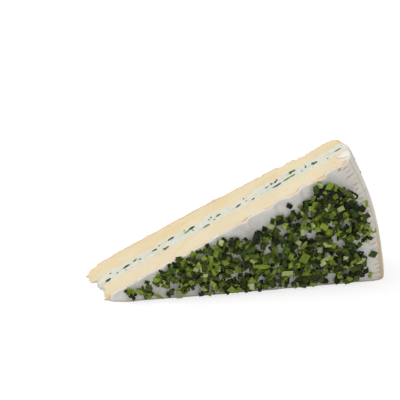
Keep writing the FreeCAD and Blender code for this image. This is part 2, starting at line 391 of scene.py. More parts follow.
def make_filling(material, slivers):
    layer = Layer(FILLING, "filling_layer", "filling")
    at = layer.at
    on_cut = np.maximum(layer.on_upper, layer.on_lower)
    on_rim = smooth(at.from_rim, 1.5, 0.5)
    open_side = np.maximum(on_cut, on_rim)
    sides = np.abs(layer.normals[:, 1]) ** 4
    lap(layer, 1)
    lap(layer, -1)
    lumps = 0.10 * bumps(layer.points, 1.2, 61) + 0.12 * bumps(layer.points, 3.2, 62)
    pits = smooth(bumps(layer.points, 0.95, 63), 0.45, 0.75)
    layer.push(open_side * (lumps - 0.3 * pits) * (1 - sides))
    rag_tip(layer, 8.0, 0.6, 43)
    layer.push(on_rim * 0.35 * bumps(layer.points, 4.0, 64))
    smear = np.zeros(len(layer.points))
    for along, across, length, *_ in slivers:
        da, dc = at.along - along, at.across - across
        trail = np.exp(-(((da + 0.8 * length) / (1.3 * length)) ** 2) - (dc / 0.75) ** 2)
        smear = np.maximum(smear, trail)
    layer.finish({
        "rind": layer.rind, "along": at.along, "pit": pits * open_side, "smear": smear * on_cut,
        "rim": on_rim, "side": np.minimum(at.across - FILLING_LOW[1], FILLING_HIGH[1] - at.across),
        "bank": BANK_SHIFT * np.sign(at.across),
    }, material)
    return layer


# ---------------------------------------------------------------- materials

def colour(red, green, blue):
    """A screen colour from 0 to 255 as the linear colour that a shader takes."""
    def linear(value):
        value /= 255
        return value / 12.92 if value <= 0.04045 else ((value + 0.055) / 1.055) ** 2.4
    return (linear(red), linear(green), linear(blue), 1.0)


# The sockets of a Mix node that are in use when it mixes colours.
MIX_INPUTS, MIX_RESULT = (0, 6, 7), 2


def add_node(tree, kind, **settings):
    node = tree.nodes.new("ShaderNode" + kind)
    for name, value in settings.items():
        setattr(node, name, value)
    return node


class Look:
    """A Principled material with a few short ways to add nodes. Lengths in it are millimetres."""

    def __init__(self, name):
        self.material = bpy.data.materials.new(name)
        self.material.use_nodes = True
        self.tree = self.material.node_tree
        self.shader = self.tree.nodes["Principled BSDF"]
        position = self.node("TexCoord").outputs["Object"]
        scaled = self.node("VectorMath", operation="SCALE")
        self.put(1 / MM, scaled.inputs["Scale"])
        self.put(position, scaled.inputs[0])
        self.place = scaled.outputs[0]

    def node(self, kind, **settings):
        return add_node(self.tree, kind, **settings)

    def put(self, value, socket):
        if isinstance(value, bpy.types.NodeSocket):
            self.tree.links.new(value, socket)
        else:
            socket.default_value = value

    def field(self, name):
        return self.node("Attribute", attribute_name=name).outputs["Fac"]

    def math(self, operation, *values):
        node = self.node("Math", operation=operation)
        for socket, value in zip(node.inputs, values):
            self.put(value, socket)
        return node.outputs[0]

    def plus(self, first, second):
        return self.math("ADD", first, second)

    def minus(self, first, second):
        return self.math("SUBTRACT", first, second)

    def times(self, first, second):
        return self.math("MULTIPLY", first, second)

    def ease(self, value, low, high, from_value=0.0, to_value=1.0):
        node = self.node("MapRange", interpolation_type="SMOOTHSTEP")
        for name, entry in zip(("Value", "From Min", "From Max", "To Min", "To Max"),
                               (value, low, high, from_value, to_value)):
            self.put(entry, node.inputs[name])
        return node.outputs["Result"]

    def mix(self, share, first, second):
        node = self.node("Mix", data_type="RGBA")
        for entry, socket in zip((share, first, second), MIX_INPUTS):
            self.put(entry, node.inputs[socket])
        return node.outputs[MIX_RESULT]

    def vector(self, x, y):
        node = self.node("CombineXYZ")
        self.put(x, node.inputs[0])
        self.put(y, node.inputs[1])
        return node.outputs[0]

    def noise(self, cell, detail=2.0, where=None, rough=0.5):
        """Noise from about 0.2 to 0.8 with bumps of that size in millimetres."""
        node = self.node("TexNoise")
        self.put(self.place if where is None else where, node.inputs["Vector"])
        self.put(1 / cell, node.inputs["Scale"])
        self.put(detail, node.inputs["Detail"])
        self.put(rough, node.inputs["Roughness"])
        return node.outputs["Fac"]

    def patches(self, cell, detail, *limits):
        """Noise with sharper edges. The limits are those that ease takes."""
        return self.ease(self.noise(cell, detail), *limits)

    def bump(self, height, depth):
        """Height is from 0 to 1, and depth is what 1 stands for, in millimetres."""
        node = self.node("Bump")
        self.put(depth * MM, node.inputs["Distance"])
        self.put(height, node.inputs["Height"])
        self.put(node.outputs[0], self.shader.inputs["Normal"])

    def done(self, base, **plain):
        self.put(base, self.shader.inputs["Base Color"])
        for name, value in plain.items():
            self.put(value, self.shader.inputs[name.replace("_", " ")])
        return self.material


PASTE, PASTE_DEEP = colour(242, 226, 188), colour(238, 217, 172)
PASTE_WARM, TAN_LINE = colour(242, 217, 176), colour(234, 196, 148)
PASTE_PALE = colour(240, 231, 211)
BARE_ORANGE = colour(226, 170, 118)
RIND, RIND_GREY, RIND_TAN = colour(248, 245, 238), colour(236, 232, 224), colour(222, 200, 168)
MARK, CREST = colour(216, 180, 146), colour(228, 199, 156)
CREAM, CREAM_GREY, CREAM_WARM = colour(236, 235, 219), colour(224, 226, 213), colour(238, 231, 201)
CREAM_PIT, CREAM_BLUE = colour(226, 212, 150), colour(190, 204, 204)
EYE = colour(248, 204, 104)
CREAM_DRY = colour(238, 229, 204)
SOFT = {"Subsurface_Scale": 0.002, "Subsurface_Radius": (1.0, 0.8, 0.55), "IOR": 1.42}
YELLOWED, BLUISH = colour(128, 134, 46), colour(24, 54, 30)
# Chives on the rind and in the filling, from the darkest to the palest. The near-black darkest of the rind
# chives is partly their dark outer skin and partly painted shade for the gaps between the pieces.
FRESH = colour(10, 18, 4), colour(64, 88, 20), colour(152, 176, 60), colour(222, 228, 172)
SOAKED = colour(42, 68, 64), colour(70, 104, 74), colour(104, 158, 52), colour(150, 180, 120)


def cheese_look(name):
    look = Look(name)
    rind, joint, along = look.field("rind"), look.field("joint"), look.field("along")
    split = look.node("SeparateXYZ")
    look.put(look.place, split.inputs[0])
    across = split.outputs["Y"]
    streaks = look.noise(0.8, 2.0, look.vector(look.times(along, 0.03), across))
    grain = look.noise(0.45, 3.0)

    paste = look.mix(look.patches(14.0, 2.0, 0.35, 0.65), PASTE, PASTE_DEEP)
    paste = look.mix(look.ease(streaks, 0.5, 0.72, 0.0, 0.45), paste, PASTE_DEEP)
    paste = look.mix(look.ease(across, -3.0, -8.0, 0.0, 0.3), paste, PASTE_PALE)
    paste = look.mix(look.ease(rind, 3.5, 0.8, 0.0, 0.6), paste, PASTE_WARM)
    paste = look.mix(look.field("eye"), paste, EYE)

    # The filling is smeared over the paste beside it, with soft wandering edges.
    wavy = look.noise(5.5, 3.0, look.vector(look.times(along, 0.8), look.times(across, 0.25)))
    reach = look.times(look.minus(wavy, 0.47), 9.0)
    smear = look.ease(look.minus(joint, reach), 1.1, -0.7)
    paste = look.mix(smear, paste, look.mix(look.patches(0.9, 3.0, 0.4, 0.65), CREAM, CREAM_GREY))

    # Under the white rind lies a thin tan line. Where the rind is torn, white flaps lie over the paste.
    tear = look.field("tear")
    blotch = look.noise(2.6, 3.0)
    white_depth = look.plus(look.ease(blotch, 0.35, 0.65, 0.3, 0.75),
                            look.times(tear, look.ease(blotch, 0.42, 0.6, 0.1, 1.3)))
    tan_depth = look.plus(white_depth, look.patches(4.0, 2.0, 0.4, 0.65, 0.1, 0.8))
    tan_depth = look.plus(tan_depth, look.times(look.field("patch"), 1.6))
    tan = look.mix(look.field("patch"), TAN_LINE, BARE_ORANGE)
    soft = look.ease(look.field("patch"), 0.0, 1.0, 0.4, 1.1)
    paste = look.mix(look.ease(look.minus(rind, tan_depth), soft, -0.3, 0.0, 0.85), paste, tan)

    mottled = look.mix(look.patches(4.5, 4.0, 0.4, 0.66, 0.0, 0.7), RIND, RIND_GREY)
    mottled = look.mix(look.patches(8.0, 3.0, 0.64, 0.78, 0.0, 0.3), mottled, RIND_TAN)
    # The mat and hoop left a tan crest along the rounded corner, and short strokes beside it.
    from_rim, arc = look.field("from_rim"), look.field("arc")
    low = look.ease(arc, 30.0, 8.0)
    crest_place = look.minus(2.7, look.times(low, 0.5))
    crest = look.math("ABSOLUTE", look.minus(from_rim, crest_place))
    crest = look.minus(crest, look.times(low, 1.2))
    crest = look.plus(crest, look.patches(2.0, 2.0, 0.3, 0.7, -0.25, 0.25))
    crest_line = look.times(look.ease(crest, 0.9, 0.0), look.ease(low, 0.0, 1.0, 0.6, 0.9))
    corner = look.ease(look.plus(joint, look.times(look.noise(3.0, 3.0), 5.0)), 10.5, 13.5)
    crest_line = look.times(crest_line, corner)
    beat = look.times(look.plus(arc, look.times(look.noise(11.0, 0.0), 4.0)), 1 / 2.35)
    stroke = look.math("ABSOLUTE", look.minus(look.math("FRACT", beat), 0.5))
    ragged = look.times(look.noise(1.5, 0.0), 4.0)
    stroke_reach = look.times(look.ease(from_rim, 3.5, 4.1),
                              look.ease(look.plus(from_rim, ragged), 8.9, 7.9))
    stroke = look.times(look.ease(stroke, 0.28, 0.08), stroke_reach)
    stroke = look.times(stroke, look.patches(2.3, 1.0, 0.35, 0.55, 0.1, 0.7))
    # On the far face the strokes are fainter, and come and go.
    come_and_go = look.patches(7.0, 2.0, 0.42, 0.58, 0.9, 0.3)
    fade = look.times(look.ease(across, 0.0, 6.0), come_and_go)
    stroke = look.times(stroke, look.minus(1.0, fade))
    floor_edge = look.ease(look.plus(look.field("height"), look.noise(2.4, 2.0)), 1.4, 0.7, 0.0, 0.8)
    rind_colour = look.mix(floor_edge, mottled, RIND_TAN)
    rind_colour = look.mix(crest_line, rind_colour, CREST)
    rind_colour = look.mix(stroke, rind_colour, MARK)
    rind_colour = look.mix(look.field("scratch"), rind_colour, BARE_ORANGE)

    paste = look.mix(look.ease(look.field("cap"), 0.02, 0.25, 0.0, 0.8), paste, TAN_LINE)
    white = look.ease(look.minus(rind, white_depth), 0.12, -0.08)
    white = look.math("MAXIMUM", white, look.ease(look.field("cap"), 0.35, 0.6))
    base = look.mix(white, paste, rind_colour)
    relief = look.plus(look.times(grain, look.ease(white, 0.0, 1.0, 0.3, 0.7)),
                       look.times(streaks, 0.4))
    relief = look.minus(relief, look.times(stroke, 1.2))
    wrinkles = look.times(look.noise(2.6, 5.0), look.ease(white, 0.0, 1.0, 0.0, 4.0))
    relief = look.plus(relief, wrinkles)
    look.bump(relief, 0.12)
    look.put(look.ease(white, 0.0, 1.0, 0.48, 0.92), look.shader.inputs["Roughness"])
    return look.done(base, Subsurface_Weight=0.2, **SOFT)


def filling_look(name):
    look = Look(name)
    curds = look.noise(0.9, 3.0, rough=0.6)
    base = look.mix(look.ease(curds, 0.38, 0.64), CREAM, CREAM_GREY)
    base = look.mix(look.patches(6.0, 3.0, 0.5, 0.7, 0.0, 0.5), base, CREAM_WARM)
    base = look.mix(look.patches(0.8, 1.0, 0.62, 0.70, 0.0, 0.8), base, CREAM_PIT)
    base = look.mix(look.times(look.field("pit"), 0.7), base, CREAM_PIT)
    base = look.mix(look.times(look.field("smear"), 0.55), base, CREAM_BLUE)
    base = look.mix(look.patches(1.7, 3.0, 0.68, 0.78, 0.0, 0.4), base, CREAM_BLUE)
    # Paste from the halves is dragged over its edges in places.
    wavy = look.noise(6.5, 2.0, look.vector(look.times(look.field("along"), 0.8), look.field("bank")))
    dragged = look.times(look.minus(wavy, 0.5), 9.0)
    base = look.mix(look.ease(look.minus(look.field("side"), dragged), 0.8, -0.6), base, PASTE)
    # On the rim it has dried a little, under a patchy white bloom.
    base = look.mix(look.ease(look.field("rind"), 0.5, 0.1, 0.0, 0.6), base, CREAM_DRY)
    bloom = look.times(look.field("rim"), look.patches(2.6, 4.0, 0.42, 0.58, 0.15, 0.85))
    base = look.mix(bloom, base, RIND_GREY)
    look.bump(look.plus(curds, look.times(look.noise(0.4, 2.0), 0.4)), 0.28)
    return look.done(base, Roughness=0.62, Subsurface_Weight=0.15, **SOFT)


def crumb_look(name, light, dark):
    look = Look(name)
    look.bump(look.noise(0.3, 2.0), 0.08)
    return look.done(look.mix(look.patches(0.8, 2.0, 0.35, 0.65), light, dark), Roughness=0.85)


def chive_look(name, dark, middle, light, pale):
    look = Look(name)
    tint = look.plus(look.field("tint"), look.patches(1.4, 2.0, 0.3, 0.7, -0.12, 0.12))
    base = look.mix(look.ease(tint, 0.05, 0.4), dark, middle)
    base = look.mix(look.ease(tint, 0.45, 0.75), base, light)
    base = look.mix(look.ease(tint, 0.85, 1.0), base, pale)
    age = look.field("age")
    base = look.mix(look.ease(age, 0.7, 1.0, 0.0, 0.35), base, YELLOWED)
    base = look.mix(look.ease(age, 0.3, 0.0, 0.0, 0.45), base, BLUISH)
    ribs = look.math("SINE", look.times(look.field("rib"), 17.0))
    lit = look.ease(tint, 0.1, 0.6, 0.2, 1.0)
    base = look.mix(look.times(lit, look.ease(ribs, -0.2, 1.0, 0.0, 0.25)), base, light)
    base = look.mix(look.times(look.times(look.field("inner"), 0.4), lit), base, light)
    look.bump(look.plus(look.times(ribs, 0.35), look.noise(0.5, 2.0)), 0.12)
    return look.done(base, Roughness=0.45, Specular_IOR_Level=0.2)


# ---------------------------------------------------------------- chopped chives

GOLDEN = 0.618034   # spreads the pieces' ages evenly
CREASE = 50         # degrees: a sharper fold than this isn't shaded smooth


class Bits:
    """Many small leaf pieces gathered into one mesh. Their points are in millimetres."""

    def __init__(self):
        self.points, self.faces, self.count = [], [], 0
        self.fields = {"tint": [], "age": [], "inner": [], "rib": []}

    def add(self, points, faces, tint, inner, rib):
        self.points.append(points)
        self.faces += [tuple(corner + self.count for corner in face) for face in faces]
        self.count += len(points)
        self.fields["tint"].append(np.full(len(points), tint))
        self.fields["age"].append(np.full(len(points), self.count * GOLDEN % 1.0))
        self.fields["inner"].append(inner)
        self.fields["rib"].append(rib)

    def piece(self, name, material, slot):
        mesh = bpy.data.meshes.new(name)
        mesh.from_pydata((np.concatenate(self.points) * MM).tolist(), [], self.faces)
        write_fields(mesh, {key: np.concatenate(parts) for key, parts in self.fields.items()})
        mesh.set_sharp_from_angle(angle=math.radians(CREASE))
        add_piece(name, mesh, material)


def double_wall(outer, inner, closed):
    """Points and faces of a thin wall between two grids of points. Closed makes a tube of it."""
    rows, columns = outer.shape[:2]
    points = np.concatenate([outer.reshape(-1, 3), inner.reshape(-1, 3)])
    back = rows * columns
    last = columns if closed else columns - 1
    faces = []
    for i, j in itertools.product(range(rows - 1), range(last)):
        a, b = i * columns + j, i * columns + (j + 1) % columns
        c, d = b + columns, a + columns
        faces += [(a, b, c, d), (back + d, back + c, back + b, back + a)]
    # Narrow faces close the wall at both ends and, unless it is a tube, along both sides.
    edges = [(i * columns + j, i * columns + (j + 1) % columns, i == 0)
             for i in (0, rows - 1) for j in range(last)]
    if not closed:
        edges += [(i * columns + j, (i + 1) * columns + j, j > 0)
                  for j in (0, columns - 1) for i in range(rows - 1)]
    for a, b, in_order in edges:
        face = (a, back + a, back + b, b)
        faces.append(face if in_order else face[::-1])
    return points, faces


def tube(rng, length, width, squash):
    """A chopped length of hollow leaf, more or less pressed flat, with slanted ends."""
    sides, rows, wall = 12, 3, 0.2
    turn = np.linspace(0, 2 * math.pi, sides, endpoint=False)
    dent = 1 + 0.08 * rng.uniform(-1, 1, sides)
    slants = rng.normal(0, 0.22, 2)
    outer = np.zeros((rows, sides, 3))
    inner = np.zeros((rows, sides, 3))
    for i in range(rows):
        run = i / (rows - 1)
        y, z = np.cos(turn) * width / 2 * dent, np.sin(turn) * width / 2 * squash * dent
        slant = slants[0] * (1 - run) + slants[1] * run
        x = (run - 0.5) * length + slant * y
        outer[i] = np.stack([x, y, z], axis=1)
        inner[i] = np.stack([x, y * max(0.3, 1 - 2 * wall / width),
                             z * max(0.25, 1 - 2 * wall / (width * squash))], axis=1)
    points, faces = double_wall(outer, inner, True)
    rib = np.tile(np.tile(turn * width / 2, rows), 2)
    return points, faces, np.repeat([0.0, 1.0], rows * sides), rib


# Where along a piece, from its middle, a hook starts, how much of its length it takes, and how far the
# chosen ones turn (radians).
HOOK_START, HOOK_SPAN, HOOK_TURN = 0.1, 0.4, 3.6


def strip(rng, length, width, fold, bow, taper=0.0, rows=4, columns=4, hook=0.0):
    """A split piece of leaf, folded along its length and bowed end to end. Hook turns one end aside."""
    thickness = rng.uniform(0.22, 0.36)
    u = np.linspace(-0.5, 0.5, rows)[:, None]
    v = np.linspace(-0.5, 0.5, columns)[None, :]
    slant = rng.normal(0, 0.2)
    wedge = rng.uniform(-0.15, 0.15)
    breadth = width * (1 - taper * np.clip(np.abs(u) * 2, 0, 1) ** 2) * (1 + wedge * u)
    angle = fold * v * np.ones_like(u)
    radius = width / max(abs(fold), 1e-3)
    y = radius * np.sin(angle) * breadth / width
    lift = radius * (1 - np.cos(angle)) * np.sign(fold) * breadth / width
    x = length * u + slant * y
    if abs(bow) > 1e-3:
        bend = bow * x / length
        ring = length / bow
        centre, normal_x, normal_z = (ring - lift), np.sin(bend), np.cos(bend)
        outer = np.stack([centre * normal_x, y, ring - centre * normal_z], axis=2)
        inward = np.stack([-normal_x, np.zeros_like(y), normal_z], axis=2)
    else:
        outer = np.stack([x, y, lift], axis=2)
        inward = np.stack([np.zeros_like(x), np.zeros_like(x), np.ones_like(x)], axis=2)
    outer = outer + rng.normal(0, 0.02, outer.shape)
    inner = outer + inward * thickness
    if hook:
        for sheet in (inner, outer):
            past = np.clip(sheet[:, :, 0] / length - HOOK_START, 0, 1)
            angle = hook * past / HOOK_SPAN
            reach = np.minimum(sheet[:, :, 0], HOOK_START * length)
            radius = HOOK_SPAN * length / hook
            arm = radius - sheet[:, :, 1]
            sheet[:, :, 0] = reach + arm * np.sin(angle)
            sheet[:, :, 1] = np.where(past > 0, radius - arm * np.cos(angle), sheet[:, :, 1])
    points, faces = double_wall(outer, inner, False)
    rib = np.tile((v * width * np.ones_like(u)).ravel(), 2)
    return points - points.mean(0), faces, np.repeat([0.0, 1.0], rows * columns), rib


def turned(points, spin, lean, roll):
    """Spin about the piece's up axis after it is leaned and rolled."""
    ca, sa, cb, sb, cc, sc = (f(a) for a in (spin, lean, roll) for f in (math.cos, math.sin))
    rolled = points @ np.array([[1, 0, 0], [0, cc, sc], [0, -sc, cc]])
    leaned = rolled @ np.array([[cb, 0, -sb], [0, 1, 0], [sb, 0, cb]])
    return leaned @ np.array([[ca, sa, 0], [-sa, ca, 0], [0, 0, 1]])


class HerbFace:
    """How high rind and chives stand over the face that looks towards -Y, on a fine grid."""

    CELL, MARGIN, TALL = 0.35, 2, 60
    START_Y, REACH = -60, 54   # rays start in front of the face, and end inside the half
    ABOVE_FLOOR = 0.15         # how far above the floor a piece has to stay
    HELD = 0.45                # the share of a piece that has to have rind under it
    REST = 88                  # percent of what is under a piece lies lower than where it rests
    GIVE = 0.1                 # how far the next piece may sink into one

    def __init__(self, layer):
        self.low_x, self.rows = TIP_X - self.MARGIN, int(self.TALL / self.CELL)
        self.columns = int((LENGTH + 3 * self.MARGIN) / self.CELL)
        self.height = np.full((self.columns, self.rows), np.nan)
        x, z = np.meshgrid(self.low_x + (np.arange(self.columns) + 0.5) * self.CELL,
                           (np.arange(self.rows) + 0.5) * self.CELL, indexing="ij")
        for i, j in np.ndindex(x.shape):
            start = Vector((x[i, j], self.START_Y, z[i, j]))
            hit = layer.tree.ray_cast(start, Vector((0, 1, 0)), self.REACH)[0]
            if hit is not None:
                self.height[i, j] = -hit.y
        self.ground = self.height.copy()
        self.cover = herb_cover(x.ravel(), z.ravel()).reshape(x.shape)

    def cells(self, x, z):
        i = np.clip(((x - self.low_x) / self.CELL).astype(int), 0, self.columns - 1)
        j = np.clip((z / self.CELL).astype(int), 0, self.rows - 1)
        return i, j

    def cover_at(self, x, z):
        i, j = self.cells(np.array([x]), np.array([z]))
        return self.cover[i[0], j[0]]

    def settle(self, points, x, z, sink, most):
        """A piece's points in the frame, laid down at x, z, or None if it lay too high or off the face."""
        px, pz = x + points[:, 0], z + points[:, 1]
        if pz.min() < self.ABOVE_FLOOR:
            return None
        i, j = self.cells(px, pz)
        under = self.height[i, j] - points[:, 2]
        known = under[~np.isnan(under)]
        if len(known) < self.HELD * len(under):
            return None
        lift = np.percentile(known, self.REST) - sink
        top = points[:, 2] + lift
        ground = self.ground[i, j]
        if np.nanmax(top - ground) > most:
            return None
        for di, dj in itertools.product((-1, 0, 1), repeat=2):
            ii, jj = np.clip(i + di, 0, self.columns - 1), np.clip(j + dj, 0, self.rows - 1)
            np.maximum.at(self.height, (ii, jj), top - self.GIVE)
        return np.stack([px, -top, pz], axis=1)


# The heap's outline (mm): how far it stays below the upper edge and above the floor at distances from the
# tip, and how far inside the rim at heights above the floor.
BARE_BELOW_EDGE = [(50, 0), (70, 6), (90, 7), (102, 1), (112, 10)]
BARE_ABOVE_FLOOR = [(25, 5), (43, 1), (104, 2), (112, 5)]
BARE_INSIDE_RIM = [(5, 9), (15, 12), (20, 7), (33, 6), (48, 13)]
# Little heaps near the tip, and bare spots: out from the tip, up from the floor and radius (mm).
HEAPS = [(14, 4, 2), (20, 5, 3), (27, 9, 3), (31, 12, 3.5), (30, 1, 1.5)]
BARE_SPOTS = [(56, 8, 2), (63, 25, 2.5), (68, 20, 3), (75, 18, 2),
              (76, 26, 2.5), (89, 23, 2.5), (98, 4, 2), (80, 3, 2)]


def herb_cover(x, z):
    """How thickly the chives lie at places on the face, from 0 to 1."""
    flat = np.stack([x, 0 * x, z], axis=1)
    at = Places(flat)
    out = x - TIP_X
    wander = 1.2 * bumps(flat, 4.0, 71) + 0.8 * bumps(flat, 1.8, 72)
    ends = [np.interp(along, *zip(*curve)) for along, curve in
            ((at.along, BARE_BELOW_EDGE), (out, BARE_ABOVE_FLOOR), (z, BARE_INSIDE_RIM))]
    cover = smooth(at.below_upper + wander, ends[0] - 0.3, ends[0] + 0.6)
    cover *= smooth(z + wander, ends[1] - 0.8, ends[1] + 0.5)
    cover *= smooth(at.from_rim + wander, ends[2] - 0.6, ends[2] + 1.0)
    cover *= smooth(at.along + wander, 30, 38)
    for place_out, place_up, radius in HEAPS:
        away = np.hypot(out - place_out, z - place_up)
        cover = np.maximum(cover, 0.8 * smooth(away, radius * 1.15, radius * 0.7))
    for place_out, place_up, radius in BARE_SPOTS:
        away = np.hypot(out - place_out, z - place_up) + 0.6 * wander
        cover *= 1 - 0.95 * smooth(away, radius * 1.3, radius * 0.8)
    gaps = smooth(bumps(flat, 3.0, 73), 0.40, 0.60)
    return cover * (1 - 0.9 * gaps)


# Chives that catch the eye: kind, out from the tip, up from the floor, length, width (mm), angle (degrees,
# from +X up), fold, bow and tint.
CHOSEN = [
    ("blade", 64, 24, 7.0, 1.5, 80, 1.2, 0.3, 0.1), ("blade", 67, 12, 7.2, 2.0, -4, 1.6, 0.15, 0.72),
    ("blade", 91, 34, 8.6, 1.8, 52, 1.5, 0.1, 0.12), ("blade", 93, 36, 6.4, 1.4, 50, 1.3, 0.1, 0.2),
    ("blade", 87, 5, 9.0, 2.0, 6, 1.8, 0.1, 0.15), ("blade", 102, 41, 8.0, 1.9, -34, 1.2, 0.3, 0.35),
    ("hook", 105, 40, 8.0, 0.9, -34, 0.6, 0.1, 0.1), ("hook", 113, 24, 7.4, 0.9, -42, 0.6, 0.1, 0.7),
    ("blade", 25, 2, 4.6, 1.3, -28, 1.0, 0.6, 0.72), ("flake", 78, 8, 4.6, 2.1, 0, 0.8, 0.1, 1.0),
    ("flake", 93, 27, 3.4, 2.4, -35, 0.5, 0.1, 0.8), ("flake", 100, 34, 2.8, 2.0, 25, 0.6, 0.1, 1.0),
    ("flake", 47, 6, 2.8, 1.9, -40, 0.5, 0.1, 0.95), ("flake", 115, 12, 3.0, 2.9, -20, 0.2, 0.1, 0.3),
    ("flake", 111, 35, 3.2, 1.3, 100, 1.0, 0.2, 0.75), ("ring", 111, 30, 2.6, 2.6, 30, 0.5, 0.0, 0.1),
    ("ring", 79, 36, 2.3, 1.9, -30, 0.5, 0.0, 0.08), ("flake", 113, 20, 1.8, 1.6, -30, 0.3, 0.1, 0.2),
    ("flake", 85, 14, 4.0, 3.6, 60, 0.6, 0.2, 0.66), ("flake", 94, 13, 4.4, 1.0, 30, 1.2, 0.1, 1.05),
    ("flake", 114, 3, 2.6, 1.3, 70, 0.4, 0.1, 0.75), ("flake", 95, 44, 3.2, 2.6, 60, 0.9, 0.3, 0.74),
    ("flake", 17, 5, 3.0, 1.4, -15, 0.6, 0.1, 0.8),
]


TRIES = 12                    # how many places are tried for each piece that is wanted
SINK, RAISE = 0.25, 0.15      # how far a strewn piece sinks in, and a chosen one stands clear (mm)
NO_LIMIT = 99                 # mm, more than any piece can rise


class Chopping:
    """Cuts chives of four kinds and gathers them into one piece for each kind."""

    NAMES = {"ring": "chive_rings", "flake": "chive_flakes", "blade": "chive_blades", "crumb": "chive_crumbs"}
    TINTS = ((0.0, 0.3), (0.25, 0.6), (0.55, 0.85), (0.85, 1.1))

    def __init__(self, face, seed):
        self.face, self.rng = face, np.random.default_rng(seed)
        self.bits = {kind: Bits() for kind in self.NAMES}

    def tint(self, shares):
        band = self.rng.choice(len(self.TINTS), p=shares)
        return self.rng.uniform(*self.TINTS[band])

    def cut(self, kind):
        """One piece in its own frame: points, faces, which points are inside, and places across it."""
        rng = self.rng
        roll = rng.normal(0, 0.35) + (math.pi if rng.random() < 0.55 else 0.0)
        if kind == "ring":
            squash = rng.uniform(0.12, 0.3) if rng.random() < 0.6 else rng.uniform(0.4, 0.9)
            shape = tube(rng, rng.uniform(1.4, 3.1), rng.uniform(1.9, 2.9), squash)
            lean = rng.normal(0, 0.35) if rng.random() < 0.82 else math.pi / 2 + rng.normal(0, 0.3)
        elif kind == "flake":
            shape = strip(rng, rng.uniform(1.3, 3.2), rng.uniform(1.2, 2.5), rng.uniform(0.2, 1.3),
                          rng.uniform(-0.2, 0.2))
            lean = rng.normal(0, 0.45)
        elif kind == "blade":
            shape = strip(rng, rng.uniform(4.0, 7.5), rng.uniform(0.9, 1.6), rng.uniform(0.6, 2.2),
                          rng.uniform(-0.4, 0.4), rng.uniform(0.1, 0.8), rows=9)
            lean = rng.normal(0, 0.1)
        else:
            shape = strip(rng, rng.uniform(0.6, 1.3), rng.uniform(0.4, 0.9), rng.uniform(0.1, 1.0), 0.1,
                          rows=3, columns=3)
            lean = rng.normal(0, 0.4)
        points, faces, inner, rib = shape
        return turned(points, rng.uniform(0, 2 * math.pi), lean, roll), faces, inner, rib

    def strew(self, kind, wanted, most, shares):
        """Strews pieces where the cover says. None may rise more than most above the rind."""
        laid = 0
        for _ in range(wanted * TRIES):
            if laid == wanted:
                break
            x, z = self.rng.uniform(TIP_X, TIP_X + LENGTH), self.rng.uniform(0, 56)
            if self.rng.random() > self.face.cover_at(x, z):
                continue
            points, faces, inner, rib = self.cut(kind)
            placed = self.face.settle(points, x, z, SINK, most)
            if placed is not None:
                # Pieces towards the rim end get slightly darker tints: painted shade.
                painted_rim_shade = 0.06 * smooth(x, 15, 35)
                self.bits[kind].add(placed, faces, self.tint(shares) - painted_rim_shade, inner, rib)
                laid += 1
        print("chives:", kind, laid, "of", wanted)

    def choose(self, kind, out, up, length, width, angle, fold, bow, tint):
        """Lays one piece on purpose, on top of what lies there."""
        if kind == "ring":
            shape = tube(self.rng, length, width, fold)
        elif kind == "flake":
            shape = strip(self.rng, length, width, fold, bow, 0.05)
        else:
            hook = HOOK_TURN if kind == "hook" else 0.0
            shape = strip(self.rng, length, width, fold, bow, 0.7, rows=15, hook=hook)
            kind = "blade"
        points, faces, inner, rib = shape
        roll = self.rng.normal(0, 0.15) + (math.pi if tint < 0.5 else 0.0)
        points = turned(points, math.radians(angle), 0.0, roll)
        placed = self.face.settle(points, TIP_X + out, up, -RAISE, NO_LIMIT)
        if placed is not None:
            self.bits[kind].add(placed, faces, tint, inner, rib)


def lay_chives(face, material):
    """Strews the chives in a fixed random order, each piece resting on what lies there already."""
    board = Chopping(face, 7)
    dark, mixed, fresh = (0.8, 0.17, 0.03, 0.0), (0.45, 0.28, 0.2, 0.07), (0.36, 0.26, 0.26, 0.12)
    # The lower layers take mostly the darkest tints: partly the chives' dark outer skin, partly painted shade
    # in the gaps under the pieces laid later.
    board.strew("crumb", 90, 1.2, dark)
    board.strew("flake", 420, 1.6, dark)
    board.strew("ring", 230, 2.6, mixed)
    board.strew("blade", 14, 2.4, dark)
    board.strew("flake", 330, 3.0, mixed)
    board.strew("ring", 210, 3.4, fresh)
    board.strew("crumb", 90, 3.2, fresh)
    for chosen in CHOSEN:
        board.choose(*chosen)
    for kind, name in board.NAMES.items():
        board.bits[kind].piece(name, material, "chives")


# ---------------------------------------------------------------- chives in the filling

# Cut chives that catch the eye in the filling, on the upper cut face: along, across, length, width (mm),
# slant and tint.
SLIVERS = [
    (8, -3, 2.6, 1.1, 0.35, 0.1), (17, 0, 3.1, 0.8, 0.1, 0.15), (35, -3, 2.7, 0.8, 0.35, 0.1),
    (48, 2, 2.9, 1.0, 0.1, 0.12), (87, -2, 4.2, 0.9, 0.08, 0.1), (93, -1, 6.0, 0.5, 0.12, 0.62),
    (116, 0, 2.9, 0.9, 0.1, 0.1),
]


# How many bits of chive are strewn on the upper cut face, on the lower one and round the rim.
UPPER_BITS, LOWER_BITS, RIM_BITS = 26, 34, 16


def filling_slivers():
    """The chosen slivers, and others strewn along the whole length."""
    rng = np.random.default_rng(18)
    strewn = [(22 + 7.5 * step + rng.uniform(-3.0, 3.0), rng.uniform(-3.3, 3.6), rng.uniform(1.3, 3.2),
               rng.uniform(0.5, 0.9), rng.normal(0.1, 0.15), rng.choice([0.12, 0.2, 0.7]))
              for step in range(12)]
    return SLIVERS + strewn


